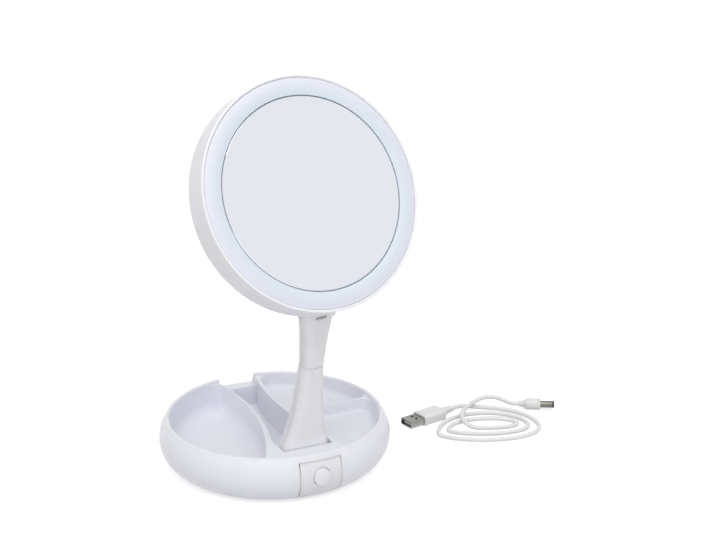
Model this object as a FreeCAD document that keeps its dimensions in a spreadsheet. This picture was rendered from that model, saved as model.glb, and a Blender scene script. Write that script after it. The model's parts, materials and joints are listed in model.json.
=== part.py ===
import FreeCAD, Part
import Sketcher
import math
import os

# Lighted makeup mirror that folds into its own tray: a round base with sorting
# trays, a two-piece stem with a swivel at its waist, a round head with a lit ring,
# and a supply lead lying beside it.
# Millimetres, +Z up, origin under the middle of the base, front towards -Y.

doc = FreeCAD.newDocument("lighted_mirror")
sheet = doc.addObject("Spreadsheet::Sheet", "Sizes")

driving = {
    # base moulding
    "base_radius": 85.0,
    "lower_inset": 14.0,
    "bulge_height": 20.0,
    "rim_inset": 5.0,
    "rim_height": 36.0,
    "rim_wall": 3.0,
    "rim_round": 1.3,
    "deck_height": 33.5,
    "foot_thickness": 1.5,
    "overrun": 10.0,
    # trays in the base
    "left_tray_floor": 12.0,
    "left_tray_corner": 7.0,
    "left_tray_cove": 6.5,
    "left_edge_rear_x": 16.5,
    "left_edge_front_x": 36.0,
    "left_edge_radius": 208.0,
    "shallow_floor": 24.0,
    "shallow_corner": 7.0,
    "shallow_cove": 3.0,
    "divider_half": 1.3,
    "divider_place": 0.4,
    "deck_margin": 5.0,
    "ridge": 2.8,
    "ridge_flare": 1.1,
    # stem channel and rear notch
    "channel_floor": 11.2,
    "channel_waist_half": 9.8,
    "channel_waist_y": 22.0,
    "channel_rear_inset": 11.0,
    "channel_rear_half": 14.8,
    "channel_front_half": 17.9,
    "slot_run": 12.5,
    "slot_gap": 0.5,
    "sill_height": 26.7,
    # space under the moulding
    "cavity_inset": 16.7,
    "cavity_top": 8.7,
    "bay_span": 63.8,
    "bay_inset": 11.5,
    "bay_top": 21.6,
    "front_bay_half": 15.0,
    "front_bay_depth": 21.0,
    "front_bay_top": 30.6,
    # bottom plate, feet and fasteners
    "plate_thickness": 2.0,
    "plate_gap": 0.25,
    "foot_radius": 6.0,
    "foot_inset": 24.0,
    "screw_radius": 1.4,
    "screw_head_radius": 2.7,
    "screw_head_height": 1.2,
    "screw_length": 9.0,
    "screw_inset": 24.5,
    "boss_radius": 4.0,
    # battery bay
    "cell_radius": 7.25,
    "cell_length": 50.5,
    "cell_gap": 0.3,
    "cell_lift": 0.4,
    "cell_tip_radius": 2.75,
    "cell_tip_length": 1.2,
    "contact_thickness": 0.8,
    "contact_width": 11.0,
    "contact_height": 12.0,
    "rib_thickness": 1.6,
    "door_margin": 2.2,
    "door_edge_inset": 2.3,
    "door_gap": 0.35,
    "door_hinge_round": 1.0,
    # switch panel and button
    "panel_width": 31.4,
    "panel_gap": 0.05,
    "panel_top": 32.0,
    "panel_thickness": 2.4,
    "button_height": 21.0,
    "button_radius": 6.3,
    "button_gap": 0.3,
    "button_proud": 1.8,
    "button_dome": 0.8,
    "button_flange": 1.3,
    "flange_drop": 1.9,
    "button_flange_thickness": 1.2,
    "button_rod_radius": 2.6,
    "button_travel": 1.5,
    "plunger_radius": 1.5,
    "plunger_insert": 1.2,
    "plunger_gap": 0.25,
    "switch_width": 10.0,
    "switch_depth": 6.5,
    "switch_inset": 9.8,
    "board_thickness": 1.6,
    "board_height": 24.0,
    # supply socket
    "jack_angle": 35.0,
    "jack_height": 11.5,
    "jack_body_width": 9.6,
    "jack_rear_inset": 31.0,
    "jack_front_inset": 17.6,
    "jack_nose_radius": 4.6,
    "jack_nose_inset": 2.0,
    "jack_bore_radius": 2.9,
    "jack_bore_depth": 10.5,
    "jack_pin_radius": 1.0,
    "jack_pin_length": 9.0,
    "jack_gap": 0.2,
    # stem
    "pivot_inset": 34.8,
    "pivot_height": 20.0,
    "stem_lean": 12.3,
    "stem_length": 124.3,
    "seam_height": 81.0,
    "seam_gap": 0.4,
    "foot_half_width": 17.8,
    "waist_half_width": 7.7,
    "top_half_width": 11.4,
    "stem_half_depth": 7.6,
    "stem_corner": 5.2,
    "stem_wall": 2.0,
    "pin_radius": 2.5,
    "pin_gap": 0.05,
    "pin_end_half": 22.6,
    "washer_radius": 5.5,
    "washer_thickness": 0.7,
    "fork_slot_half": 4.3,
    "fork_depth": 4.4,
    "fork_gap": 0.4,
    # swivel
    "swivel_turn": 7.0,
    "spindle_radius": 3.6,
    "spindle_bore": 2.2,
    "spindle_below": 13.0,
    "spindle_above": 16.0,
    "spindle_collar_radius": 5.4,
    "spindle_collar_height": 4.0,
    "bush_height": 9.0,
    "bush_radius": 5.5,
    "clip_height": 1.0,
    "clip_radius": 4.9,
    "swivel_washer_radius": 7.3,
    "swivel_clearance": 0.1,
    # head
    "head_tilt": 24.0,
    "head_radius": 78.6,
    "reach_inset": 5.6,
    "head_rear": 9.0,
    "head_depth": 26.5,
    "head_wall": 2.2,
    "head_round": 6.0,
    "lip_width": 1.9,
    "lip_round": 0.9,
    "lug_half": 4.0,
    "lug_eye_radius": 6.8,
    "lug_drop": 1.5,
    "lug_rise": 6.7,
    "window_inset": 19.6,
    "window_ledge": 2.0,
    "rear_lip": 0.8,
    "rear_mirror_thickness": 2.0,
    "rear_mirror_sag": 0.7,
    "mirror_gap": 0.25,
    "backplate_inset": 14.1,
    "backplate_thickness": 1.2,
    "carrier_floor": 2.0,
    "drum_margin": 0.75,
    "drum_wall": 2.0,
    "ring_width": 14.15,
    "front_mirror_thickness": 2.0,
    "front_recess": 0.9,
    "mirror_bevel": 0.4,
    "diffuser_gap": 0.2,
    "diffuser_thickness": 1.8,
    "diffuser_crown": 0.7,
    "diffuser_flange": 1.6,
    "led_board_thickness": 1.2,
    "led_side": 3.0,
    "led_height": 1.1,
    "led_count": 28,
    # supply lead
    "cord_radius": 1.7,
    "cord_lift": 1.75,
    "coil_turns": 3,
    "usb_shell_width": 12.0,
    "usb_shell_height": 4.5,
    "usb_shell_length": 18.8,
    "usb_shell_wall": 0.4,
    "usb_shell_round": 0.5,
    "usb_shell_overlap": 5.5,
    "usb_tongue_width": 10.6,
    "usb_tongue_height": 1.8,
    "usb_tongue_length": 16.5,
    "usb_grip_width": 15.2,
    "usb_grip_height": 8.2,
    "usb_grip_length": 21.0,
    "usb_grip_round": 2.2,
    "relief_length": 13.0,
    "relief_start_radius": 3.4,
    "relief_end_radius": 2.3,
    "relief_groove": 0.5,
    "dc_grip_radius": 4.6,
    "dc_neck_run": 6.5,
    "dc_grip_length": 17.0,
    "dc_grip_neck_radius": 2.6,
    "dc_grip_round": 1.0,
    "dc_barrel_radius": 2.75,
    "dc_barrel_bore": 1.25,
    "dc_barrel_length": 9.5,
    "dc_tip_length": 1.6,
}

for row, (name, number) in enumerate(driving.items(), 1):
    sheet.set("A%d" % row, name)
    sheet.set("B%d" % row, str(number))
    sheet.setAlias("B%d" % row, name)
doc.recompute()


# A length that carries its number and the sheet formula it follows.
class Size:
    def __init__(self, number, formula):
        self.number = float(number)
        self.formula = formula

    def joined(self, other, sign, number):
        return Size(number, "(%s %s %s)" % (self.formula, sign, as_size(other).formula))

    def __add__(self, other):
        return self.joined(other, "+", self.number + as_size(other).number)

    def __sub__(self, other):
        return self.joined(other, "-", self.number - as_size(other).number)

    def __mul__(self, other):
        return self.joined(other, "*", self.number * as_size(other).number)

    def __truediv__(self, other):
        return self.joined(other, "/", self.number / as_size(other).number)

    def __neg__(self):
        return Size(-self.number, "(-%s)" % self.formula)

    def __radd__(self, other):
        return as_size(other) + self

    def __rsub__(self, other):
        return as_size(other) - self

    def __rmul__(self, other):
        return as_size(other) * self


def as_size(value):
    return value if isinstance(value, Size) else Size(value, repr(value))


class Named:
    pass


s = Named()
for name in driving:
    setattr(s, name, Size(sheet.get(name), "Sizes." + name))

# Sizes that follow the radius of the base
s.base_lower_radius = s.base_radius - s.lower_inset
s.rim_radius = s.base_radius - s.rim_inset
s.channel_rear_y = s.base_radius - s.channel_rear_inset
s.pivot_y = s.base_radius - s.pivot_inset
s.slot_end_y = s.pivot_y - s.slot_run
s.cavity_radius = s.base_radius - s.cavity_inset
s.bay_left = s.base_radius - s.bay_span
s.bay_radius = s.base_radius - s.bay_inset
s.front_bay_rear = s.base_radius - s.front_bay_depth
s.foot_circle = s.base_radius - s.foot_inset
s.screw_circle = s.base_radius - s.screw_inset
s.door_edge_radius = s.cavity_radius - s.door_edge_inset
s.switch_face = s.base_radius - s.switch_inset
s.jack_body_rear = s.base_radius - s.jack_rear_inset
s.jack_body_front = s.base_radius - s.jack_front_inset
s.jack_nose_end = s.base_radius - s.jack_nose_inset

# Sizes that follow the radius of the head
s.head_reach = s.head_radius - s.reach_inset
s.rear_window = s.head_radius - s.window_inset
s.rear_seat = s.rear_window + s.window_ledge
s.backplate_radius = s.head_radius - s.backplate_inset
s.front_mirror_radius = s.head_radius - s.ring_width
s.drum_radius = s.front_mirror_radius + s.drum_margin

nodes = []
zero = Size(0, "0")
x_axis = FreeCAD.Vector(1, 0, 0)
y_axis = FreeCAD.Vector(0, 1, 0)
z_axis = FreeCAD.Vector(0, 0, 1)


def vector(x, y, z):
    return FreeCAD.Vector(as_size(x).number, as_size(y).number, as_size(z).number)


def frame(x=0, y=0, z=0, axis=z_axis, angle=0):
    return FreeCAD.Placement(vector(x, y, z), FreeCAD.Rotation(axis, as_size(angle).number))


def keep(item, label):
    item.Label = label
    nodes.append(item)
    return item


def bind(item, **sizes):
    for prop, size in sizes.items():
        item.setExpression(prop, as_size(size).formula)


def cylinder(name, radius, height, place):
    item = doc.addObject("Part::Cylinder", name)
    bind(item, Radius=radius, Height=height)
    item.Placement = place
    return item


def box(name, length, width, height, place):
    item = doc.addObject("Part::Box", name)
    bind(item, Length=length, Width=width, Height=height)
    item.Placement = place
    return item


# A box given by its middle in plan, standing on its lowest height.
def block(name, x, y, z, length, width, height, outer=None):
    place = frame(x - length / 2, y - width / 2, z)
    return box(name, length, width, height, outer.multiply(place) if outer else place)


def cut(name, base, *tools):
    item = doc.addObject("Part::Cut", name)
    item.Base = base
    item.Tool = tools[0] if len(tools) == 1 else fuse(name + "_tools", *tools)
    return item


def fuse(name, *shapes):
    item = doc.addObject("Part::MultiFuse", name)
    item.Shapes = list(shapes)
    return item


def common(name, base, tool):
    item = doc.addObject("Part::Common", name)
    item.Base = base
    item.Tool = tool
    return item


def group(name, *shapes):
    item = doc.addObject("Part::Compound", name)
    item.Links = list(shapes)
    return item


def new_body(name, place=None):
    item = doc.addObject("PartDesign::Body", name)
    if place:
        item.Placement = place
    return item


def new_sketch(body, name, role, lift=zero):
    item = body.newObject("Sketcher::SketchObject", name)
    plane = [part for part in body.Origin.OriginFeatures if part.Role == role][0]
    item.AttachmentSupport = [(plane, "")]
    item.MapMode = "FlatFace"
    item.setExpression("AttachmentOffset.Base.z", as_size(lift).formula)
    return item


# Centre of the arc of a radius that goes from one point to the next;
# a positive turn runs anticlockwise.
def arc_centre(start, end, radius, turn):
    chord = end.sub(start)
    middle = start.add(end).multiply(0.5)
    height = math.sqrt(max(radius ** 2 - (chord.Length / 2) ** 2, 0))
    side = FreeCAD.Vector(-chord.y, chord.x, 0).normalize()
    return middle.add(side.multiply(height * turn))


# Closed outline through corners (x, y) or (x, y, radius, turn), where the last two
# make the side that leaves the corner an arc. Every corner is tied to the sheet.
def outline(sketch, corners):
    ends = []
    count = len(corners)
    for index, corner in enumerate(corners):
        following = corners[(index + 1) % count]
        start = vector(corner[0], corner[1], 0)
        end = vector(following[0], following[1], 0)
        if len(corner) == 2:
            geo = sketch.addGeometry(Part.LineSegment(start, end), False)
            ends.append((geo, 1, 2))
        else:
            radius, turn = as_size(corner[2]), corner[3]
            centre = arc_centre(start, end, radius.number, turn)
            first, last = (start, end) if turn > 0 else (end, start)
            first = first.sub(centre)
            last = last.sub(centre)
            circle = Part.Circle(centre, z_axis, radius.number)
            arc = Part.ArcOfCircle(circle, math.atan2(first.y, first.x), math.atan2(last.y, last.x))
            geo = sketch.addGeometry(arc, False)
            ends.append((geo, 1, 2) if turn > 0 else (geo, 2, 1))
            add_size(sketch, radius, "Radius", geo)
    for index, corner in enumerate(corners):
        geo, start_point, end_point = ends[index]
        next_geo, next_start, next_end = ends[(index + 1) % count]
        sketch.addConstraint(Sketcher.Constraint("Coincident", geo, end_point, next_geo, next_start))
        add_size(sketch, as_size(corner[0]), "DistanceX", -1, 1, geo, start_point)
        add_size(sketch, as_size(corner[1]), "DistanceY", -1, 1, geo, start_point)


def add_size(sketch, size, kind, *where):
    place = sketch.addConstraint(Sketcher.Constraint(kind, *where, size.number))
    sketch.setExpression("Constraints[%d]" % place, size.formula)


def ring_sketch(body, name, role, x, y, radius, lift=zero):
    item = new_sketch(body, name, role, lift)
    geo = item.addGeometry(Part.Circle(vector(x, y, 0), z_axis, radius.number), False)
    add_size(item, radius, "Radius", geo)
    add_size(item, as_size(x), "DistanceX", -1, 1, geo, 3)
    add_size(item, as_size(y), "DistanceY", -1, 1, geo, 3)
    return item


def rectangle(sketch, x_low, x_high, y_low, y_high):
    outline(sketch, [(x_low, y_low), (x_high, y_low), (x_high, y_high), (x_low, y_high)])


def pad(body, sketch, length, midplane=False):
    item = body.newObject("PartDesign::Pad", sketch.Name + "_pad")
    item.Profile = sketch
    item.setExpression("Length", as_size(length).formula)
    item.Midplane = midplane
    return item


def pocket(body, sketch, length, midplane=False):
    item = body.newObject("PartDesign::Pocket", sketch.Name + "_cut")
    item.Profile = sketch
    item.setExpression("Length", as_size(length).formula)
    item.Midplane = midplane
    return item


# Turned piece about its own Z: corners are radius and height.
def turned(name, corners, place=None, angle=None, role="XZ_Plane"):
    body = new_body(name, place)
    profile = new_sketch(body, name + "_profile", role)
    outline(profile, corners)
    turn = body.newObject("PartDesign::Revolution", name + "_turn")
    turn.Profile = profile
    turn.ReferenceAxis = (profile, ["V_Axis"])
    if angle is None:
        turn.Angle = 360
    else:
        turn.setExpression("Angle", angle.formula)
        turn.Midplane = True
    return body


# Upright prism with rounded upright corners and a coved floor, used as a void.
def tray_void(name, corners, floor, corner_round, cove):
    body = new_body(name)
    plan = new_sketch(body, name + "_plan", "XY_Plane", floor)
    outline(plan, corners)
    pad(body, plan, s.rim_height - floor + s.overrun)
    doc.recompute()
    upright = [
        "Edge%d" % (index + 1)
        for index, edge in enumerate(body.Shape.Edges)
        if abs(edge.BoundBox.ZLength - (s.rim_height - floor + s.overrun).number) < 1e-6
    ]
    add_fillet(body, name + "_corners", upright, corner_round)
    doc.recompute()
    low = [
        "Edge%d" % (index + 1)
        for index, edge in enumerate(body.Shape.Edges)
        if abs(edge.BoundBox.ZMax - floor.number) < 1e-6
    ]
    add_fillet(body, name + "_cove", low, cove)
    return body


def add_fillet(body, name, edges, radius):
    tip = body.Tip
    item = body.newObject("PartDesign::Fillet", name)
    item.Base = (tip, edges)
    item.setExpression("Radius", radius.formula)
    return item


# Places on the base ring, in plan, at an angle counted from the front towards +X.
def on_circle(radius, degrees):
    turn = math.radians(degrees)
    return radius * math.sin(turn), radius * -math.cos(turn)


# Base moulding

rim_inner = s.rim_radius - s.rim_wall
lower_run = s.base_radius - s.base_lower_radius
lower_rise = s.bulge_height - s.foot_thickness
lower_bow = (lower_run * lower_run + lower_rise * lower_rise) / (2 * lower_run)
upper_run = s.base_radius - s.rim_radius
upper_rise = s.rim_height - s.rim_round - s.bulge_height
upper_bow = (upper_run * upper_run + upper_rise * upper_rise) / (2 * upper_run)

base_blank = turned("base_blank", [
    (zero, s.foot_thickness),
    (s.base_lower_radius, s.foot_thickness, lower_bow, 1),
    (s.base_radius, s.bulge_height, upper_bow, 1),
    (s.rim_radius, s.rim_height - s.rim_round, s.rim_round, 1),
    (s.rim_radius - s.rim_round, s.rim_height),
    (rim_inner + s.rim_round, s.rim_height, s.rim_round, 1),
    (rim_inner, s.rim_height - s.rim_round),
    (rim_inner, s.deck_height),
    (zero, s.deck_height),
])


# The height along a circle about the middle of the base at a given sideways place.
def circle_y(radius, x):
    root = "sqrt(%s^2 - %s^2)" % (radius.formula, as_size(x).formula)
    return Size(math.sqrt(radius.number ** 2 - as_size(x).number ** 2), root)


left_rear = (-s.left_edge_rear_x, circle_y(rim_inner, s.left_edge_rear_x))
left_front = (-s.left_edge_front_x, -circle_y(rim_inner, s.left_edge_front_x))
left_tray = tray_void(
    "left_tray_void",
    [left_front + (s.left_edge_radius, 1), left_rear + (rim_inner, 1)],
    s.left_tray_floor, s.left_tray_corner, s.left_tray_cove,
)


# Radius of the circle through three points. Each side of the channel is one such arc,
# wide at the stem's foot and at its top.
def radius_through(first, middle, last):
    a = last.sub(middle).Length
    b = last.sub(first).Length
    c = middle.sub(first).Length
    area = first.sub(middle).cross(last.sub(middle)).Length / 2
    return a * b * c / (4 * area)


channel_bow = radius_through(
    vector(s.channel_front_half, -s.slot_end_y, 0),
    vector(s.channel_waist_half, s.channel_waist_y, 0),
    vector(s.channel_rear_half, s.channel_rear_y, 0),
)
side_radius = Size(channel_bow, repr(channel_bow))

slot_half = s.foot_half_width + s.washer_thickness + s.pin_gap * 2
foot_front_y = s.pivot_y + s.stem_half_depth + (s.deck_height - s.pivot_height) * Size(
    math.tan(math.radians(s.stem_lean.number)), "tan(Sizes.stem_lean * 1 deg)")
slot_front_y = foot_front_y + s.slot_gap

channel = new_body("channel_void")
channel_plan = new_sketch(channel, "channel_plan", "XY_Plane", s.channel_floor)
outline(channel_plan, [
    (-slot_half, -slot_front_y),
    (slot_half, -slot_front_y),
    (slot_half, -s.slot_end_y),
    (s.channel_front_half, -s.slot_end_y, side_radius, -1),
    (s.channel_rear_half, s.channel_rear_y),
    (-s.channel_rear_half, s.channel_rear_y, side_radius, -1),
    (-s.channel_front_half, -s.slot_end_y),
    (-slot_half, -s.slot_end_y),
])
pad(channel, channel_plan, s.rim_height - s.channel_floor + s.overrun)

notch_depth = s.base_radius - s.channel_rear_y + s.overrun
notch = block("notch_void", 0, s.channel_rear_y + notch_depth / 2, s.sill_height, s.channel_rear_half * 2,
              notch_depth, s.rim_height - s.sill_height + s.overrun)

divider_rear = s.divider_place + s.divider_half
divider_front = s.divider_place - s.divider_half
rear_left_x = s.channel_rear_half + s.ridge
rear_front_x = s.channel_waist_half + s.ridge + s.ridge_flare
rear_right_tray = tray_void("rear_right_void", [
    (rear_front_x, divider_rear),
    (circle_y(rim_inner, divider_rear), divider_rear, rim_inner, 1),
    (rear_left_x, circle_y(rim_inner, rear_left_x), side_radius, 1),
], s.shallow_floor, s.shallow_corner, s.shallow_cove)

front_left_x = slot_half + s.deck_margin
front_right_tray = tray_void("front_right_void", [
    (front_left_x, -circle_y(rim_inner, front_left_x), rim_inner, 1),
    (circle_y(rim_inner, divider_front), divider_front),
    (front_left_x, divider_front),
], s.shallow_floor, s.shallow_corner, s.shallow_cove)

under = cylinder("under_void", s.cavity_radius, s.cavity_top, frame())
bay_rear_y = circle_y(s.bay_radius, s.bay_left)
bay = new_body("bay_void")
bay_low = s.cavity_top / 2
bay_plan = new_sketch(bay, "bay_plan", "XY_Plane", bay_low)
outline(bay_plan, [
    (s.bay_left, -bay_rear_y, s.bay_radius, 1),
    (s.bay_left, bay_rear_y),
])
pad(bay, bay_plan, s.bay_top - bay_low)

plate_top = s.foot_thickness + s.plate_thickness
panel_half = s.panel_width / 2
window_depth = s.base_radius - s.front_bay_rear + s.overrun
front_bay = block("front_bay_void", 0, -(s.base_radius + s.overrun - window_depth / 2), plate_top,
                  s.front_bay_half * 2, window_depth, s.front_bay_top - plate_top)
window_y = s.base_radius - s.panel_thickness * 3
window = block("window_void", 0, -(window_y + s.base_radius + s.overrun) / 2, plate_top,
               s.panel_width, s.base_radius + s.overrun - window_y, s.panel_top - plate_top)
front_bay_part = common("front_bay_part", front_bay, cylinder(
    "front_bay_limit", s.base_radius - s.panel_thickness * 2, s.rim_height, frame()))

pin_hole = cylinder("pin_hole", s.pin_radius + s.pin_gap, s.pin_end_half * 2, frame(
    -s.pin_end_half, -s.pivot_y, s.pivot_height, y_axis, 90))

jack_frame = frame(0, 0, 0, z_axis, -s.jack_angle)
along_jack = FreeCAD.Rotation(x_axis, -90)


# Round bar along the supply socket's own line, from one radius of the base to another.
def jack_bar(name, radius, start, end):
    place = jack_frame.multiply(FreeCAD.Placement(vector(0, start, s.jack_height), along_jack))
    return cylinder(name, radius, end - start, place)


jack_hole = jack_bar("jack_hole", s.jack_nose_radius + s.jack_gap, s.jack_body_rear,
                     s.base_radius + s.overrun)

base_shell = cut("base_shell", base_blank, left_tray, channel, notch, rear_right_tray, front_right_tray,
                 under, bay, front_bay_part, window, pin_hole, jack_hole)

# Screw bosses hang from the moulding down to the bottom plate.
screw_angles = (54, 126, 234, 306)
bosses = []
for number, degrees in enumerate(screw_angles):
    x, y = on_circle(s.screw_circle, degrees)
    top = s.bay_top if 0 < degrees < 180 else s.cavity_top
    bosses.append(cylinder("boss_%d" % number, s.boss_radius, top - plate_top, frame(x, y, plate_top)))

# Ribs each side of the cells carry the contacts.
cell_pitch = s.cell_radius * 2 + s.cell_gap
cell_count = 3
cell_first_x = s.bay_left + s.cell_radius + s.rib_thickness
cell_end_y = s.cell_length / 2 + s.contact_thickness
rib_length = cell_pitch * cell_count + s.cell_gap
ribs = []
for number, sign in enumerate((1, -1)):
    ribs.append(block("rib_%d" % number, s.bay_left + rib_length / 2 + s.rib_thickness / 2,
                      sign * (cell_end_y + s.rib_thickness / 2), plate_top,
                      rib_length, s.rib_thickness, s.bay_top - plate_top))

boss_holes = []
for number, degrees in enumerate(screw_angles):
    x, y = on_circle(s.screw_circle, degrees)
    boss_holes.append(cylinder("boss_hole_%d" % number, s.screw_radius, s.screw_length, frame(x, y, 0)))
base_ribbed = fuse("base_ribbed", base_shell, *bosses, *ribs)
keep(cut("base_tray_cut", base_ribbed, *boss_holes), "base_tray")

# Bottom plate with the battery door's opening

door_left = s.bay_left + s.door_margin
door_right = cell_first_x + cell_pitch * (cell_count - 1) + s.cell_radius
door_half = cell_end_y - s.door_margin
plate_blank = cylinder("plate_blank", s.cavity_radius - s.plate_gap, s.plate_thickness,
                       frame(0, 0, s.foot_thickness))
door_space = block("door_space", (door_left + door_right) / 2, 0, 0, door_right - door_left,
                   door_half * 2, plate_top + s.overrun)
door_hole_edge = cylinder("door_hole_edge", s.door_edge_radius, plate_top, frame())
door_hole = common("door_hole", door_space, door_hole_edge)
plate_holes = []
for number, degrees in enumerate(screw_angles):
    x, y = on_circle(s.screw_circle, degrees)
    plate_holes.append(cylinder("plate_hole_%d" % number, s.screw_radius + s.plate_gap,
                                plate_top, frame(x, y, 0)))
    plate_holes.append(cylinder("plate_sink_%d" % number, s.screw_head_radius + s.plate_gap,
                                s.screw_head_height + s.foot_thickness, frame(x, y, 0)))
keep(cut("plate_cut", plate_blank, door_hole, *plate_holes), "base_floor")

screws = []
for number, degrees in enumerate(screw_angles):
    x, y = on_circle(s.screw_circle, degrees)
    head = cylinder("screw_head_%d" % number, s.screw_head_radius, s.screw_head_height,
                    frame(x, y, s.foot_thickness))
    shank = cylinder("screw_shank_%d" % number, s.screw_radius, s.screw_length - s.foot_thickness,
                     frame(x, y, s.foot_thickness))
    screws.append(fuse("screw_%d" % number, head, shank))
keep(group("floor_screw_group", *screws), "floor_screws")

foot_angles = (-36, 36, 150, 210)
feet = []
for number, degrees in enumerate(foot_angles):
    x, y = on_circle(s.foot_circle, degrees)
    feet.append(cylinder("foot_%d" % number, s.foot_radius, s.foot_thickness, frame(x, y, 0)))
keep(group("foot_group", *feet), "rubber_feet")

# Battery door: a plate with a rounded hinge edge on its inner side

door_x = door_left + s.door_gap
door_length = door_right - s.door_gap - door_x
door_width = (door_half - s.door_gap) * 2
door_hinge_x = door_x + s.door_hinge_round
door_plate = box("door_plate", door_length - s.door_hinge_round, door_width, s.plate_thickness, frame(
    door_hinge_x, -door_width / 2, s.foot_thickness))
door_roll = cylinder("door_roll", s.plate_thickness / 2, door_width, frame(
    door_hinge_x, -door_width / 2, s.foot_thickness + s.plate_thickness / 2, x_axis, -90))
door_edge = cylinder("door_edge", s.door_edge_radius - s.door_gap, plate_top, frame())
keep(common("door_trim", fuse("door_fuse", door_plate, door_roll), door_edge), "battery_door")

# Cells and their contacts

cells = []
contacts = []
cell_z = plate_top + s.cell_lift + s.cell_radius
for number in range(cell_count):
    x = cell_first_x + cell_pitch * number
    sign = 1 if number % 2 else -1
    can = cylinder("cell_can_%d" % number, s.cell_radius, s.cell_length - s.cell_tip_length, frame(
        x, s.cell_length / 2 * sign, cell_z, x_axis, 90 * sign))
    tip = cylinder("cell_tip_%d" % number, s.cell_tip_radius, s.cell_length, frame(
        x, s.cell_length / 2 * sign, cell_z, x_axis, 90 * sign))
    cells.append(fuse("cell_%d" % number, can, tip))
    for end in (1, -1):
        contacts.append(block("contact_%d_%d" % (number, end > 0), x,
                              end * (cell_end_y - s.contact_thickness / 2), cell_z - s.contact_height / 2,
                              s.contact_width, s.contact_thickness, s.contact_height))
keep(group("cell_group", *cells), "aa_cells")
keep(group("contact_group", *contacts), "battery_contacts")

# Switch panel: a slice of the base's wall, flush with it

panel_skin = s.panel_thickness
panel_sweep = Size(2 * math.degrees(math.asin((panel_half - s.panel_gap).number / s.base_radius.number)),
                   "(2 * asin((%s) / Sizes.base_radius) / 1 deg)" % (panel_half - s.panel_gap).formula)
panel_low = plate_top + s.panel_gap
panel_high = s.panel_top - s.panel_gap


# Radius of the wall's outer face at a height under or over the bulge.
def wall_radius(height, bow):
    drop = height - s.bulge_height
    root = "sqrt(%s^2 - %s^2)" % (bow.formula, drop.formula)
    reach = Size(math.sqrt(bow.number ** 2 - drop.number ** 2), root)
    return s.base_radius - bow + reach


low_radius = wall_radius(panel_low, lower_bow)
high_radius = wall_radius(panel_high, upper_bow)
panel = turned("panel_body", [
    (-low_radius, panel_low, lower_bow, -1),
    (-s.base_radius, s.bulge_height, upper_bow, -1),
    (-high_radius, panel_high),
    (-(high_radius - panel_skin), panel_high, upper_bow, 1),
    (-(s.base_radius - panel_skin), s.bulge_height, lower_bow, 1),
    (-(low_radius - panel_skin), panel_low),
], angle=panel_sweep, role="YZ_Plane")
button_hole = cylinder("button_hole", s.button_radius + s.button_gap, s.overrun * 2, frame(
    0, -(s.base_radius - s.overrun), s.button_height, x_axis, 90))
keep(cut("panel_cut", panel, button_hole), "switch_panel")

# Power button: a low dome with a flange behind the panel, and the switch it presses

button_place = frame(0, -s.base_radius, s.button_height, x_axis, 90)
flange_top = -(panel_skin + s.button_gap + s.flange_drop)
dome_bow = (s.button_radius * s.button_radius + s.button_dome * s.button_dome) / (2 * s.button_dome)
rod_reach = s.switch_face + s.button_travel + s.plunger_gap
rod_end = rod_reach - s.base_radius
keep(turned("button_body", [
    (zero, rod_end),
    (s.button_rod_radius, rod_end),
    (s.button_rod_radius, flange_top - s.button_flange_thickness),
    (s.button_radius + s.button_flange, flange_top - s.button_flange_thickness),
    (s.button_radius + s.button_flange, flange_top),
    (s.button_radius, flange_top),
    (s.button_radius, s.button_proud - s.button_dome, dome_bow, 1),
    (zero, s.button_proud),
], button_place), "power_button")

switch_place_y = -(s.switch_face - s.switch_depth / 2)
switch_can = block("switch_can", 0, switch_place_y, s.button_height - s.switch_width / 2,
                   s.switch_width, s.switch_depth, s.switch_width)
plunger_room = s.plunger_insert + s.button_travel + s.plunger_gap
plunger_hole = cylinder("plunger_hole", s.plunger_radius + s.plunger_gap, plunger_room + s.overrun, frame(
    0, -(s.switch_face - plunger_room), s.button_height, x_axis, 90))
keep(cut("switch_cut", switch_can, plunger_hole), "switch_body")
plunger_end = s.switch_face - s.plunger_insert
keep(cylinder("plunger", s.plunger_radius, rod_reach - plunger_end, frame(
    0, -plunger_end, s.button_height, x_axis, 90)), "switch_plunger")
board_y = s.switch_face - s.switch_depth
keep(block("board", 0, -(board_y - s.board_thickness / 2), plate_top,
           (s.front_bay_half - s.plate_gap) * 2, s.board_thickness, s.board_height), "control_board")

# Supply socket in the rear wall, on the right

jack_body_half = s.jack_body_width / 2
jack_can = block("jack_can", 0, (s.jack_body_rear + s.jack_body_front) / 2, plate_top, s.jack_body_width,
                 s.jack_body_front - s.jack_body_rear, s.jack_height + jack_body_half - plate_top, jack_frame)
jack_nose = jack_bar("jack_nose", s.jack_nose_radius, s.jack_body_rear, s.jack_nose_end)
jack_bore = jack_bar("jack_bore", s.jack_bore_radius, s.jack_nose_end - s.jack_bore_depth,
                     s.jack_nose_end + s.overrun)
keep(cut("jack_cut", fuse("jack_fuse", jack_can, jack_nose), jack_bore), "dc_jack")
jack_bottom = s.jack_nose_end - s.jack_bore_depth
keep(jack_bar("jack_pin", s.jack_pin_radius, jack_bottom, jack_bottom + s.jack_pin_length), "dc_jack_pin")

# Foot hinge

keep(cylinder("foot_pin", s.pin_radius, s.pin_end_half * 2, frame(
    -s.pin_end_half, -s.pivot_y, s.pivot_height, y_axis, 90)), "foot_hinge_pin")
washers = []
for number, sign in enumerate((1, -1)):
    middle = sign * (s.foot_half_width + s.pin_gap + s.washer_thickness / 2)
    place = frame(middle - s.washer_thickness / 2, -s.pivot_y, s.pivot_height, y_axis, 90)
    ring = cylinder("washer_disc_%d" % number, s.washer_radius, s.washer_thickness, place)
    hole = cylinder("washer_hole_%d" % number, s.pin_radius + s.pin_gap, s.washer_thickness, place)
    washers.append(cut("washer_%d" % number, ring, hole))
keep(group("washer_group", *washers), "foot_hinge_washers")

# Stem: two hollow halves below the seam and two above it

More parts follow.
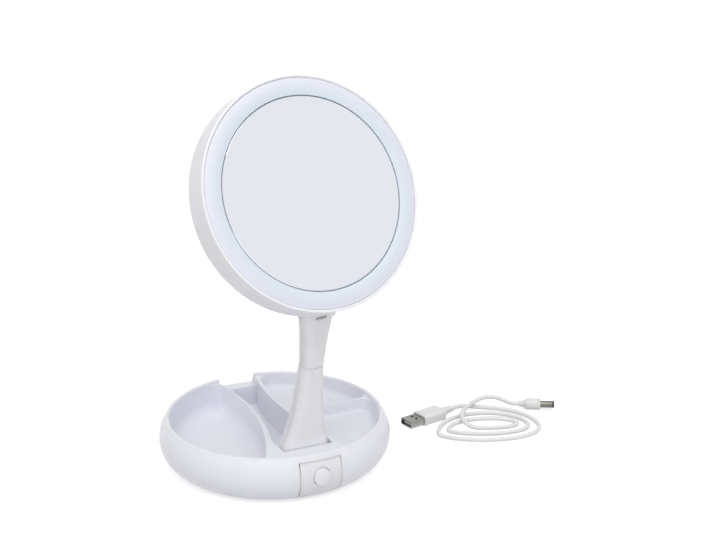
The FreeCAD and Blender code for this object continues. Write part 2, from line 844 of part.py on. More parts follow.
stem_frame = frame(0, -s.pivot_y, s.pivot_height, x_axis, s.stem_lean)
upper_frame = stem_frame.multiply(frame(0, 0, 0, z_axis, s.swivel_turn))
lower_height_shares = (0.0, 0.14, 0.28, 0.42, 0.65, 0.83, 1.0)
lower_width_shares = (1.0, 0.98, 0.69, 0.44, 0.20, 0.09, 0.0)
upper_height_shares = (0.0, 0.30, 0.49, 0.67, 0.84, 1.0)
upper_width_shares = (0.0, 0.19, 0.37, 0.60, 0.86, 1.0)
lower_top = s.seam_height - s.seam_gap / 2
upper_bottom = s.seam_height + s.seam_gap / 2


def lower_half_width(share):
    return s.waist_half_width + (s.foot_half_width - s.waist_half_width) * share


def upper_half_width(share):
    return s.waist_half_width + (s.top_half_width - s.waist_half_width) * share


lower_sections = [
    (lower_top * h, lower_half_width(w))
    for h, w in zip(lower_height_shares, lower_width_shares)
]
upper_sections = [
    (upper_bottom + (s.stem_length - upper_bottom) * h, upper_half_width(w))
    for h, w in zip(upper_height_shares, upper_width_shares)
]


# Rounded rectangle in plan at a height of the stem.
def stem_section(body, name, height, half_width, half_depth, corner):
    item = new_sketch(body, name, "XY_Plane", height)
    x, y = half_width - corner, half_depth - corner
    outline(item, [
        (x, -half_depth, corner, 1), (half_width, -y),
        (half_width, y, corner, 1), (x, half_depth),
        (-x, half_depth, corner, 1), (-half_width, y),
        (-half_width, -y, corner, 1), (-x, -half_depth),
    ])
    return item


def loft(body, kind, name, sections, inset):
    plans = [
        stem_section(body, "%s_%d" % (name, number), height, half - inset, s.stem_half_depth - inset,
                     s.stem_corner - inset)
        for number, (height, half) in enumerate(sections)
    ]
    item = body.newObject("PartDesign::" + kind, name)
    item.Profile = plans[0]
    item.Sections = plans[1:]
    return item


def stem_eye(body, name, height, half):
    eye = ring_sketch(body, name + "_round", "YZ_Plane", zero, height, s.stem_half_depth)
    pad(body, eye, half * 2, midplane=True)
    bore = ring_sketch(body, name + "_bore", "YZ_Plane", zero, height, s.pin_radius + s.pin_gap)
    pocket(body, bore, s.pin_end_half * 4, midplane=True)


# The front and rear mouldings of a stem form, which meet on its middle plane. The boxes
# that part them also leave the foot's cheeks flat beside the washers.
def stem_halves(form, name, outer, low, high):
    cheek = s.foot_half_width - s.pin_gap
    span = high - low + s.overrun * 2
    for side, start in (("front", -cheek), ("rear", zero)):
        place = outer.multiply(frame(-cheek, start, low - s.overrun))
        half = box("%s_%s_box" % (name, side), cheek * 2, cheek, span, place)
        keep(common("%s_%s_half" % (name, side), form, half), "%s_%s" % (name, side))


lower_form = new_body("stem_lower_form", stem_frame)
loft(lower_form, "AdditiveLoft", "lower_outside", lower_sections, zero)
lower_hollow = lower_sections[2:-1] + [(lower_top + s.seam_gap, s.waist_half_width)]
loft(lower_form, "SubtractiveLoft", "lower_inside", lower_hollow, s.stem_wall)
stem_eye(lower_form, "foot_eye", zero, s.foot_half_width - s.stem_corner)
stem_halves(lower_form, "stem_lower", stem_frame, -s.stem_half_depth, lower_top)

upper_form = new_body("stem_upper_form", upper_frame)
loft(upper_form, "AdditiveLoft", "upper_outside", upper_sections, zero)
upper_hollow = [(upper_bottom - s.seam_gap, s.waist_half_width)] + upper_sections[1:4]
loft(upper_form, "SubtractiveLoft", "upper_inside", upper_hollow, s.stem_wall)
stem_eye(upper_form, "head_eye", s.stem_length, s.top_half_width - s.pin_gap)
fork = new_sketch(upper_form, "fork_slot", "XZ_Plane")
rectangle(fork, -s.fork_slot_half, s.fork_slot_half, s.stem_length - s.fork_depth, s.stem_length + s.overrun)
pocket(upper_form, fork, s.overrun * 4, midplane=True)
eye_room = ring_sketch(upper_form, "fork_eye_room", "YZ_Plane", zero, s.stem_length,
                       s.lug_eye_radius + s.fork_gap)
pocket(upper_form, eye_room, s.fork_slot_half * 2, midplane=True)
stem_halves(upper_form, "stem_upper", upper_frame, upper_bottom, s.stem_length + s.stem_half_depth)


def in_stem(height):
    return stem_frame.multiply(frame(0, 0, height))


# Swivel at the waist: a hollow spindle held in the upper stem turns in a bush below

spindle_low = s.seam_height - s.spindle_below
spindle_high = s.seam_height + s.spindle_above
collar_low = upper_bottom
keep(turned("spindle_body", [
    (s.spindle_bore, spindle_low),
    (s.spindle_radius, spindle_low),
    (s.spindle_radius, collar_low),
    (s.spindle_collar_radius, collar_low),
    (s.spindle_collar_radius, collar_low + s.spindle_collar_height),
    (s.spindle_radius, collar_low + s.spindle_collar_height),
    (s.spindle_radius, spindle_high),
    (s.spindle_bore, spindle_high),
], stem_frame), "swivel_spindle")


def tube(name, outer, inner, height, place):
    disc = cylinder(name + "_disc", outer, height, place)
    hole = cylinder(name + "_hole", inner, height, place)
    return cut(name + "_cut", disc, hole)


spindle_fit = s.spindle_radius + s.pin_gap
bush_low = lower_top - s.bush_height
keep(tube("bush", s.bush_radius, spindle_fit, s.bush_height, in_stem(bush_low)), "swivel_bush")
keep(tube("seam_washer", s.swivel_washer_radius, spindle_fit, s.seam_gap - s.swivel_clearance,
          in_stem(lower_top + s.swivel_clearance)), "swivel_washer")
clip_place = in_stem(bush_low - s.clip_height - s.pin_gap)
keep(tube("clip", s.clip_radius, s.spindle_radius, s.clip_height, clip_place), "swivel_clip")

# Head hinge pin across the fork

keep(cylinder("head_pin", s.pin_radius, (s.top_half_width - s.pin_gap * 2) * 2, upper_frame.multiply(frame(
    -(s.top_half_width - s.pin_gap * 2), 0, s.stem_length, y_axis, 90))), "head_hinge_pin")

# Head: its own Z points out of the mirror, its own Y up, zero on the hinge line's plane

hinge_frame = upper_frame.multiply(frame(0, 0, s.stem_length, x_axis, -(s.head_tilt + s.stem_lean)))
head_frame = hinge_frame.multiply(frame(0, 0, s.head_reach, x_axis, 90))

head_front = s.head_rear + s.head_depth
head_inner = s.head_radius - s.lip_width
cup_floor = s.head_rear + s.head_wall
keep(turned("housing_body", [
    (s.rear_window, s.head_rear),
    (s.head_radius - s.head_round, s.head_rear, s.head_round, 1),
    (s.head_radius, s.head_rear + s.head_round),
    (s.head_radius, head_front - s.lip_round, s.lip_round, 1),
    (s.head_radius - s.lip_round, head_front),
    (head_inner + s.lip_round, head_front, s.lip_round, 1),
    (head_inner, head_front - s.lip_round),
    (head_inner, cup_floor + s.head_round - s.head_wall, s.head_round - s.head_wall, -1),
    (head_inner - s.head_round + s.head_wall, cup_floor),
    (s.rear_seat, cup_floor),
    (s.rear_seat, s.head_rear + s.rear_lip),
    (s.rear_window, s.head_rear + s.rear_lip),
], head_frame), "head_housing")

rear_mirror_low = s.head_rear + s.rear_lip
rear_mirror_radius = s.rear_seat - s.mirror_gap
sag_bow = (s.rear_window * s.rear_window + s.rear_mirror_sag * s.rear_mirror_sag) / (2 * s.rear_mirror_sag)
rear_mirror_top = rear_mirror_low + s.rear_mirror_thickness
keep(turned("rear_mirror_body", [
    (zero, rear_mirror_low + s.rear_mirror_sag, sag_bow, -1),
    (s.rear_window, rear_mirror_low),
    (rear_mirror_radius, rear_mirror_low),
    (rear_mirror_radius, rear_mirror_top),
    (zero, rear_mirror_top),
], head_frame), "rear_mirror")

carrier_low = rear_mirror_top + s.backplate_thickness
keep(cylinder("backplate", s.backplate_radius, s.backplate_thickness,
              head_frame.multiply(frame(0, 0, rear_mirror_top))), "rear_mirror_backplate")

mirror_front = head_front - s.front_recess
mirror_rear = mirror_front - s.front_mirror_thickness
board_low = carrier_low + s.carrier_floor
keep(turned("carrier_body", [
    (zero, mirror_rear - s.carrier_floor),
    (s.drum_radius - s.drum_wall, mirror_rear - s.carrier_floor),
    (s.drum_radius - s.drum_wall, board_low),
    (s.backplate_radius - s.drum_wall * 2, board_low),
    (s.backplate_radius - s.drum_wall * 2, carrier_low),
    (head_inner - s.diffuser_gap, carrier_low + s.carrier_floor / 2),
    (head_inner - s.diffuser_gap, board_low),
    (s.drum_radius, board_low),
    (s.drum_radius, mirror_rear),
    (zero, mirror_rear),
], head_frame), "light_carrier")

mirror_edge = s.front_mirror_radius
keep(turned("front_mirror_body", [
    (zero, mirror_rear),
    (mirror_edge, mirror_rear),
    (mirror_edge, mirror_front - s.mirror_bevel),
    (mirror_edge - s.mirror_bevel, mirror_front),
    (zero, mirror_front),
], head_frame), "front_mirror")

ring_inner = s.front_mirror_radius + s.diffuser_gap * 3
ring_outer = head_inner - s.diffuser_gap
ring_half = (ring_outer - ring_inner) / 2
crown_bow = (ring_half * ring_half + s.diffuser_crown * s.diffuser_crown) / (2 * s.diffuser_crown)
ring_top = head_front - s.front_recess
keep(turned("diffuser_body", [
    (ring_inner, mirror_rear),
    (ring_inner + s.diffuser_flange, mirror_rear),
    (ring_inner + s.diffuser_flange, ring_top - s.diffuser_thickness),
    (ring_outer - s.diffuser_flange, ring_top - s.diffuser_thickness),
    (ring_outer - s.diffuser_flange, board_low),
    (ring_outer, board_low),
    (ring_outer, ring_top, crown_bow, 1),
    (ring_inner, ring_top),
], head_frame), "diffuser_ring")

led_outer = ring_outer - s.diffuser_flange - s.diffuser_gap
led_place = head_frame.multiply(frame(0, 0, board_low))
led_inner = s.drum_radius + s.diffuser_gap
keep(tube("led_board", led_outer, led_inner, s.led_board_thickness, led_place), "led_board")
led_middle = (led_outer + led_inner) / 2
leds = []
led_count = int(s.led_count.number)
for number in range(led_count):
    spot = led_place.multiply(frame(0, 0, s.led_board_thickness, z_axis, number * 360 / led_count))
    leds.append(block("led_%d" % number, led_middle, 0, 0, s.led_side, s.led_side, s.led_height, spot))
keep(group("led_group", *leds), "leds")

# Hinge lug behind the head's lower edge

lug_place = hinge_frame
lug_eye = cylinder("lug_eye", s.lug_eye_radius, s.lug_half * 2, lug_place.multiply(
    frame(-s.lug_half, 0, 0, y_axis, 90)))
lug_arm = box("lug_arm", s.lug_half * 2, s.head_rear, s.lug_rise + s.lug_drop, lug_place.multiply(
    frame(-s.lug_half, -s.head_rear, -s.lug_drop)))
lug_bore = cylinder("lug_bore", s.pin_radius + s.pin_gap, s.lug_half * 4, lug_place.multiply(
    frame(-s.lug_half * 2, 0, 0, y_axis, 90)))
keep(cut("lug_cut", fuse("lug_fuse", lug_eye, lug_arm), lug_bore), "hinge_lug")

# Supply lead: a cord in loose loops on the table, with a flat plug and a round plug

usb_exit = (157.5, 12.0)
usb_angle = 191.6
dc_exit = (209.2, -4.4)
dc_angle = -29.5
usb_lift = s.usb_grip_height / 2
usb_frame = frame(usb_exit[0], usb_exit[1], usb_lift, z_axis, usb_angle)
dc_frame = frame(dc_exit[0], dc_exit[1], s.dc_grip_radius, z_axis, dc_angle)
along_x = frame(0, 0, 0, y_axis, 90)

# The flat plug: a tapered ribbed relief, a moulded grip, a folded shell and its tongue
rib_count = 4
rib_pitch = s.relief_length / (rib_count * 2 + 1)
taper = s.relief_start_radius - s.relief_end_radius
relief_corners = [(zero, zero)]
for number in range(rib_count * 2 + 1):
    share = number / (rib_count * 2)
    radius = s.relief_end_radius + taper * share - (s.relief_groove if number % 2 else zero)
    relief_corners.append((radius, rib_pitch * number))
    relief_corners.append((radius, rib_pitch * (number + 1)))
relief_corners.append((zero, s.relief_length))
keep(turned("relief_body", relief_corners, usb_frame.multiply(along_x)), "usb_strain_relief")


# Rounded bar along a plug's own X, between two places on it.
def plug_bar(name, place, start, length, width, height, corner):
    body = new_body(name, place.multiply(along_x))
    plan = new_sketch(body, name + "_plan", "XY_Plane", start)
    x, y = height / 2 - corner, width / 2 - corner
    outline(plan, [
        (x, -width / 2, corner, 1), (height / 2, -y),
        (height / 2, y, corner, 1), (x, width / 2),
        (-x, width / 2, corner, 1), (-height / 2, y),
        (-height / 2, -y, corner, 1), (-x, -width / 2),
    ])
    pad(body, plan, length)
    return body


shell_start = s.relief_length + s.usb_grip_length - s.usb_shell_overlap
shell_bar = plug_bar("usb_shell_bar", usb_frame, shell_start, s.usb_shell_length,
                     s.usb_shell_width, s.usb_shell_height, s.usb_shell_round)
shell_wall = s.usb_shell_wall
shell_void = plug_bar("usb_shell_void", usb_frame, shell_start - s.overrun,
                      s.usb_shell_length + s.overrun * 2, s.usb_shell_width - shell_wall * 2,
                      s.usb_shell_height - shell_wall * 2, s.usb_shell_round - shell_wall / 2)
keep(cut("usb_shell_cut", shell_bar, shell_void), "usb_shell")
grip_bar = plug_bar("usb_grip_bar", usb_frame, s.relief_length, s.usb_grip_length,
                    s.usb_grip_width, s.usb_grip_height, s.usb_grip_round)
shell_seat = plug_bar("usb_shell_seat", usb_frame, shell_start, s.usb_shell_length,
                      s.usb_shell_width, s.usb_shell_height, s.usb_shell_round)
keep(cut("usb_grip_cut", grip_bar, shell_seat), "usb_grip")
tongue_low = shell_wall - s.usb_shell_height / 2
keep(box("usb_tongue_box", s.usb_tongue_length, s.usb_tongue_width, s.usb_tongue_height, usb_frame.multiply(
    frame(shell_start, -s.usb_tongue_width / 2, tongue_low))), "usb_tongue")

# The round plug: a moulded grip, a metal barrel and its insulating tip
neck_length = s.dc_grip_length / 3
keep(turned("dc_grip_body", [
    (zero, zero),
    (s.dc_grip_neck_radius, zero),
    (s.dc_grip_radius, neck_length),
    (s.dc_grip_radius, s.dc_grip_length - s.dc_grip_round, s.dc_grip_round, 1),
    (s.dc_grip_radius - s.dc_grip_round, s.dc_grip_length),
    (zero, s.dc_grip_length),
], dc_frame.multiply(along_x)), "dc_plug_grip")
barrel_place = dc_frame.multiply(frame(s.dc_grip_length, 0, 0, y_axis, 90))
keep(tube("dc_barrel", s.dc_barrel_radius, s.dc_barrel_bore, s.dc_barrel_length, barrel_place),
     "dc_plug_barrel")
tip_place = dc_frame.multiply(frame(s.dc_grip_length + s.dc_barrel_length, 0, 0, y_axis, 90))
keep(tube("dc_tip", s.dc_barrel_radius, s.dc_barrel_bore, s.dc_tip_length, tip_place), "dc_plug_tip")

# The loops: back, right, front and left of the outermost and innermost turn, in plan
outer_turn = [(181.9, 8.5), (204.5, -43.6), (153.1, -46.4), (126.4, -20.2)]
inner_turn = [(177.0, -13.1), (191.6, -31.2), (164.5, -27.5), (146.2, -17.0)]
heading_angles = (-26.0, -116.0, 154.0, 64.0)


# Middle of the arc that leaves a point along a heading and ends at another point.
def arc_between(start, heading, end):
    chord = end.sub(start)
    along = FreeCAD.Vector(chord).normalize()
    cosine = max(-1.0, min(1.0, heading.dot(along)))
    aside = heading.sub(FreeCAD.Vector(along).multiply(cosine))
    if aside.Length < 1e-9:
        return Part.LineSegment(start, end).toShape()
    bow = chord.Length / 2 * math.tan(math.acos(cosine) / 2)
    middle = start.add(end).multiply(0.5).add(aside.normalize().multiply(bow))
    return Part.Arc(start, middle, end).toShape()


# Two arcs that join two points and leave each along its own heading.
def biarc(start, heading, end, last_heading):
    span = end.sub(start)
    both = heading.add(last_heading)
    lead = span.dot(both)
    bend = 2 * (1 - heading.dot(last_heading))
    reach = span.Length ** 2 / (2 * lead) if bend < 1e-9 else (
        math.sqrt(lead ** 2 + bend * span.Length ** 2) - lead) / bend
    first = start.add(FreeCAD.Vector(heading).multiply(reach))
    second = end.sub(FreeCAD.Vector(last_heading).multiply(reach))
    joint = first.add(second).multiply(0.5)
    across = second.sub(first).normalize()
    return [arc_between(start, heading, joint), arc_between(joint, across, end)]


cord_diameter = s.cord_radius * 2
usb_heading = usb_frame.Rotation.multVec(FreeCAD.Vector(-1, 0, 0))
usb_start = vector(usb_exit[0], usb_exit[1], usb_lift)
coil_start = usb_start.add(FreeCAD.Vector(usb_heading).multiply(cord_diameter.number))
coil_edges = [Part.LineSegment(usb_start, coil_start).toShape()]
place, heading = coil_start, usb_heading
turns = int(s.coil_turns.number)
for quarter in range(turns * 4 - 1):
    side = quarter % 4
    share = (quarter // 4) / max(turns - 1, 1)
    outer = vector(outer_turn[side][0], outer_turn[side][1], s.cord_lift)
    inner = vector(inner_turn[side][0], inner_turn[side][1], s.cord_lift)
    target = outer.add(inner.sub(outer).multiply(share))
    aim = FreeCAD.Rotation(z_axis, heading_angles[side]).multVec(x_axis)
    coil_edges += biarc(place, heading, target, aim)
    place, heading = target, aim
end_run = FreeCAD.Vector(heading).multiply(cord_diameter.number)
coil_end = place.add(end_run)
coil_edges.append(Part.LineSegment(place, coil_end).toShape())

# The tail rises over the loops to the round plug: points chosen by hand, in plan and height
dc_heading = dc_frame.Rotation.multVec(FreeCAD.Vector(1, 0, 0))
dc_start = vector(dc_exit[0], dc_exit[1], s.dc_grip_radius)
tail_route = [
    tuple(coil_end),
    tuple(coil_end.add(end_run)),
    (154.3, -20.1, 2.7),
    (152.9, -13.4, 4.4),
    (154.9, -6.9, 6.0),
    (160.1, -0.7, 6.7),
    (166.8, 4.3, 6.8),
    (174.0, 8.6, 7.2),
    (182.1, 12.0, 7.5),
    (190.2, 13.1, 7.4),
    (197.1, 10.4, 6.6),
    (201.2, 4.7, 5.4),
    tuple(dc_start.sub(FreeCAD.Vector(dc_heading).multiply(s.dc_neck_run.number))),
    tuple(dc_start),
]


# Straight runs joined by arcs as large as the shorter run at each corner allows.
def rounded_route(points):
    corners = [FreeCAD.Vector(*point) for point in points]
    run_share = 0.45
    edges = []
    radii = []
    last = corners[0]
    for before, corner, after in zip(corners, corners[1:], corners[2:]):
        into = corner.sub(before)
        out = after.sub(corner)
        trim = run_share * min(into.Length, out.Length)
        half_turn = into.getAngle(out) / 2
        radii.append(trim / math.tan(half_turn))
        arc_start = corner.sub(FreeCAD.Vector(into).normalize().multiply(trim))
        arc_end = corner.add(FreeCAD.Vector(out).normalize().multiply(trim))
        edges.append(Part.LineSegment(last, arc_start).toShape())
        edges.append(arc_between(arc_start, FreeCAD.Vector(into).normalize(), arc_end))
        last = arc_end
    edges.append(Part.LineSegment(last, corners[-1]).toShape())
    return edges, radii


def cord_solid(edges):
    path = Part.Wire(edges)
    start = edges[0].valueAt(edges[0].FirstParameter)
    heading = edges[0].tangentAt(edges[0].FirstParameter)
    section = Part.Wire(Part.Circle(start, heading, s.cord_radius.number).toShape())
    sweep = Part.BRepOffsetAPI.MakePipeShell(path)
    sweep.add(section)
    sweep.build()
    sweep.makeSolid()
    return sweep.shape(), path


# Least gap between stretches of the cord that are further apart along it than they need be to bend.
def least_gap(path):
    step = s.cord_radius.number / 2
    points = path.discretize(Distance=step)
    skip = int(s.cord_radius.number * 8 / step)
    nearest = min(
        first.distanceToPoint(second)
        for index, first in enumerate(points)
        for second in points[index + skip:]
    )
    return nearest - cord_diameter.number


tail_edges, tail_radii = rounded_route(tail_route)
section_area = math.pi * s.cord_radius.number ** 2
lead_edges = []
for name, edges in (("cord_coil", coil_edges), ("cord_tail", tail_edges)):
    solid, path = cord_solid(edges)
    item = doc.addObject("Part::Feature", name + "_tube")
    item.Shape = solid
    item.Placement = frame()
    keep(item, name)
    ratio = solid.Volume / (section_area * path.Length)
    print(name, "length", round(path.Length, 1), "volume over section by length", round(ratio, 4))
    lead_edges += edges
lead_path = Part.Wire(lead_edges)
coil_radii = [edge.Curve.Radius for edge in coil_edges if hasattr(edge.Curve, "Radius")]
print("coil radii", [round(radius, 1) for radius in coil_radii])
print("tail radii", [round(radius, 1) for radius in tail_radii])
print("cord length", round(lead_path.Length, 1), "least gap to itself", round(least_gap(lead_path), 2))

doc.recompute()
for item in doc.Objects:
    if "Invalid" in item.State or "Error" in item.State:
        raise RuntimeError("%s did not compute: %s" % (item.Label, item.State))
os.makedirs("parts", exist_ok=True)
for item in nodes:
    if item.Shape.isNull() or not item.Shape.isValid():
        raise RuntimeError("%s has no valid shape" % item.Label)
    item.Shape.exportStep("parts/%s.step" % item.Label)
    print(item.Label, len(item.Shape.Solids), round(item.Shape.Volume, 1))
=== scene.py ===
import bpy
import json
import math
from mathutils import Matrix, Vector


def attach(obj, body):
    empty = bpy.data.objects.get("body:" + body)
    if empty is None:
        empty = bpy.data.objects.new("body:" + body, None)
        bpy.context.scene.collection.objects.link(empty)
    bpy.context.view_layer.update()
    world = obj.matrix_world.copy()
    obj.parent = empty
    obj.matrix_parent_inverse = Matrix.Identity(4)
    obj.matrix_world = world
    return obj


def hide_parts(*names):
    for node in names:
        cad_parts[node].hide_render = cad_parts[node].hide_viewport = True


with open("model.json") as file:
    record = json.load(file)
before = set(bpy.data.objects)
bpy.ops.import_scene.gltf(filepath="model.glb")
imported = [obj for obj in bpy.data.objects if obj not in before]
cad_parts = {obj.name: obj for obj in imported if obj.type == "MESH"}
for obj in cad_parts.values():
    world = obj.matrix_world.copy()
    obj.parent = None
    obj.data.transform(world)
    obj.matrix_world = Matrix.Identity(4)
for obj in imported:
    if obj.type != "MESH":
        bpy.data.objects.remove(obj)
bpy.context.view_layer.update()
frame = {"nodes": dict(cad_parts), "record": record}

nodes = frame["nodes"]
up = Vector((0, 0, 1))
scene = bpy.context.scene
scene.view_settings.view_transform = "Standard"
print("frame loaded,", len(nodes), "nodes")


def addObject(name, data):
    holder = bpy.data.objects.new(name, data)
    scene.collection.objects.link(holder)
    return holder


def aimAt(holder, place, target):
    aim = Vector(target) - Vector(place)
    holder.location = place
    holder.rotation_euler = aim.to_track_quat("-Z", "Y").to_euler()


# Level direction at an angle in degrees, and the one to its left
def levelAxes(angle):
    turn = math.radians(angle)
    along = Vector((math.cos(turn), math.sin(turn), 0))
    return along, Vector((-along.y, along.x, 0))


# Camera at the photograph's viewing angle

cameraView = {
    "place": (-0.3655, -0.8945, 0.4625),
    "target": (0.06826, 0.0, 0.13606),
    "focalPixels": 1425.6,
    "imageWidth": 716,
    "sensor": 36.0,
    "clipStart": 0.01,
}


def addCamera():
    lens = bpy.data.cameras.new("photoCamera")
    lens.sensor_width = cameraView["sensor"]
    lens.lens = cameraView["focalPixels"] * cameraView["sensor"] / cameraView["imageWidth"]
    lens.clip_start = cameraView["clipStart"]
    scene.camera = addObject("photoCamera", lens)
    aimAt(scene.camera, cameraView["place"], cameraView["target"])


addCamera()
print("camera set")

# Supply lead: loops on the table, then a tail over them to the round plug

lead = {
    "radius": 0.0017,
    "length": 0.57,
    "lift": 0.00175,
    "exit": (0.1575, 0.012, 0.0041),
    "exitAngle": 11.6,
    "exitRuns": ((0.006, 0.0), (0.0115, -0.0010)),
    "outerTurn": [(0.1819, 0.0085), (0.2045, -0.0436), (0.1531, -0.0464), (0.1264, -0.0202)],
    "innerTurn": [(0.1770, -0.0131), (0.1916, -0.0312), (0.1645, -0.0275), (0.1462, -0.0170)],
    "headings": (-26.0, -116.0, 154.0, 64.0),
    "turns": 3,
    "quartersLeftOut": 2,
    "pointsPerQuarter": 4,
    "tail": [
        (0.1584, -0.0245, 0.00175),
        (0.1543, -0.0201, 0.0027),
        (0.1529, -0.0134, 0.0044),
        (0.1549, -0.0069, 0.0060),
        (0.1601, -0.0007, 0.0067),
        (0.1668, 0.0043, 0.0068),
        (0.1740, 0.0086, 0.0072),
        (0.1821, 0.0120, 0.0075),
        (0.1902, 0.0131, 0.0074),
        (0.1971, 0.0104, 0.0066),
        (0.2012, 0.0047, 0.0054),
        (0.20354, -0.0012, 0.0046),
        (0.2092, -0.0044, 0.0046),
    ],
    "curveOrder": 3,
    "curveSteps": 8,
    "roundSteps": 5,
}
quarters = len(lead["headings"])


def quarterPoint(number):
    side = number % quarters
    share = (number // quarters) / (lead["turns"] - 1)
    outer = Vector(lead["outerTurn"][side])
    inner = Vector(lead["innerTurn"][side])
    return outer.lerp(inner, share)


def onTable(spot):
    return Vector((spot.x, spot.y, lead["lift"]))


def leadPoints():
    start = Vector(lead["exit"])
    heading, _ = levelAxes(lead["exitAngle"])
    points = [start] + [start + heading * run + up * rise for run, rise in lead["exitRuns"]]
    last = lead["turns"] * quarters - lead["quartersLeftOut"]
    for number in range(last):
        first, second = quarterPoint(number), quarterPoint(number + 1)
        ahead = levelAxes(lead["headings"][number % quarters])[0].xy
        centre = second - ahead * (second - first).dot(ahead)
        for step in range(lead["pointsPerQuarter"]):
            angle = math.pi / 2 * step / lead["pointsPerQuarter"]
            spot = centre + (first - centre) * math.cos(angle) + (second - centre) * math.sin(angle)
            points.append(onTable(spot))
    points.append(onTable(quarterPoint(last)))
    return points + [Vector(spot) for spot in lead["tail"]]


def addLead():
    line = bpy.data.curves.new("leadCord", "CURVE")
    line.dimensions = "3D"
    points = leadPoints()
    spline = line.splines.new("NURBS")
    spline.points.add(len(points) - 1)
    for point, spot in zip(spline.points, points):
        point.co = (spot.x, spot.y, spot.z, 1)
        point.radius = lead["radius"]
    spline.order_u = lead["curveOrder"]
    spline.use_endpoint_u = True
    spline.resolution_u = lead["curveSteps"]
    # The points carry the cord's radius, so the bevel is a unit circle
    line.bevel_depth = 1.0
    line.bevel_resolution = lead["roundSteps"]
    line.use_fill_caps = True
    cord = addObject("leadCord", line)
    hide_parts("cord_coil", "cord_tail")
    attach(cord, "base")
    return cord


def tubeFace(row, index, count):
    after = (index + 1) % count
    return (row * count + index, row * count + after, (row + 1) * count + after, (row + 1) * count + index)


# Folded shell of the flat plug, with its two latch holes above and below

shellForm = {
    "rows": (0.0285, 0.0340, 0.0382, 0.0406, 0.0468, 0.0473),
    "holeRow": 2,
    "halfWidth": 0.0060,
    "halfHeight": 0.00225,
    "corner": 0.0005,
    "cornerSteps": 3,
    "holes": ((-0.0037, -0.0014), (0.0014, 0.0037)),
    "wall": 0.0004,
}


def roundCorner(across, height, start):
    corner, steps = shellForm["corner"], shellForm["cornerSteps"]
    turns = [math.radians(start - 90 * step / steps) for step in range(steps + 1)]
    return [(across + corner * math.cos(turn), height + corner * math.sin(turn)) for turn in turns]


def shellSection():
    top = shellForm["halfHeight"]
    wide, tall = shellForm["halfWidth"] - shellForm["corner"], top - shellForm["corner"]
    cuts = sorted(edge for hole in shellForm["holes"] for edge in hole)
    right = roundCorner(wide, tall, 90) + roundCorner(wide, -tall, 0)
    left = roundCorner(-wide, -tall, -90) + roundCorner(-wide, tall, -180)
    return [(edge, top) for edge in cuts] + right + [(edge, -top) for edge in reversed(cuts)] + left


def inHole(first, second):
    level = first[1] == second[1] and abs(first[1]) == shellForm["halfHeight"]
    return level and tuple(sorted((first[0], second[0]))) in shellForm["holes"]


def addPlugShell():
    section, rows = shellSection(), shellForm["rows"]
    count = len(section)
    start = Vector(lead["exit"])
    along, across = levelAxes(lead["exitAngle"] + 180)
    points = [start + along * row + across * y + up * z for row in rows for y, z in section]
    faces = [tubeFace(row, index, count) for row in range(len(rows) - 1) for index in range(count)
             if row != shellForm["holeRow"] or not inHole(section[index], section[(index + 1) % count])]
    mesh = bpy.data.meshes.new("plugShell")
    mesh.from_pydata(points, [], faces)
    shell = addObject("plugShell", mesh)
    sheet = shell.modifiers.new("sheet", "SOLIDIFY")
    sheet.thickness = shellForm["wall"]
    sheet.offset = -1
    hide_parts("usb_shell")
    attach(shell, "base")
    return shell


# Turned grip of the round plug: a ribbed relief, a shoulder and a flange at the barrel
# The profile gives runs and radii in millimetres

gripForm = {
    "place": (0.2092, -0.0044, 0.0046),
    "angle": -29.5,
    "sides": 48,
    "sharpAngle": 40,
    "unit": 0.001,
    "profile": (
        (0.0, 1.75), (0.0, 2.4), (0.9, 2.5), (1.0, 2.05), (1.5, 2.1),
        (1.6, 2.65), (2.5, 2.75), (2.6, 2.25), (3.1, 2.3),
        (3.2, 2.9), (4.1, 3.0), (4.2, 2.5), (4.7, 2.55),
        (4.8, 3.6), (5.2, 4.15), (6.0, 4.4), (14.7, 4.4),
        (14.8, 4.15), (15.2, 4.15), (15.3, 4.45), (15.5, 4.6),
        (16.7, 4.6), (17.0, 4.3), (17.0, 2.8),
    ),
}


def addPlugGrip():
    place = Vector(gripForm["place"])
    along, across = levelAxes(gripForm["angle"])
    sides, profile = gripForm["sides"], gripForm["profile"]
    points = []
    for run, radius in profile:
        for side in range(sides):
            angle = 2 * math.pi * side / sides
            spot = along * run + across * radius * math.cos(angle) + up * radius * math.sin(angle)
            points.append(place + spot * gripForm["unit"])
    faces = [tubeFace(row, side, sides) for row in range(len(profile) - 1) for side in range(sides)]
    mesh = bpy.data.meshes.new("plugGrip")
    mesh.from_pydata(points, [], faces)
    mesh.shade_smooth()
    mesh.set_sharp_from_angle(angle=math.radians(gripForm["sharpAngle"]))
    grip = addObject("plugGrip", mesh)
    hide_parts("dc_plug_grip")
    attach(grip, "base")
    return grip


plugShell = addPlugShell()
plugGrip = addPlugGrip()
leadCord = addLead()
print("lead laid")

# Finishes

texture = {
    "blotchDetail": 3.0,
    "blotchRough": 0.55,
    "darkStop": 0.3,
    "lightStop": 0.7,
    "grainDetail": 2.0,
    "edgeSamples": 6,
}
plasticLook = {
    "blotches": 9.0,
    "patches": 40.0,
    "grainHeight": 0.0004,
    "scatterWeight": 0.5,
    "scatterRadius": (1, 1, 1),
    "scatterGloss": 0.25,
}
metalLook = {"blotches": 120.0, "patches": 300.0, "grainHeight": 0.0002}


def newFinish(name):
    finish = bpy.data.materials.new(name)
    finish.use_nodes = True
    tree = finish.node_tree
    return finish, tree, tree.nodes["Principled BSDF"]


def addNode(tree, kind, **inputs):
    node = tree.nodes.new(kind)
    for key, value in inputs.items():
        node.inputs[key.replace("_", " ")].default_value = value
    return node


def addOperation(tree, kind, operation):
    node = tree.nodes.new(kind)
    node.operation = operation
    return node


def objectSpace(tree):
    return tree.nodes.new("ShaderNodeTexCoord").outputs["Object"]


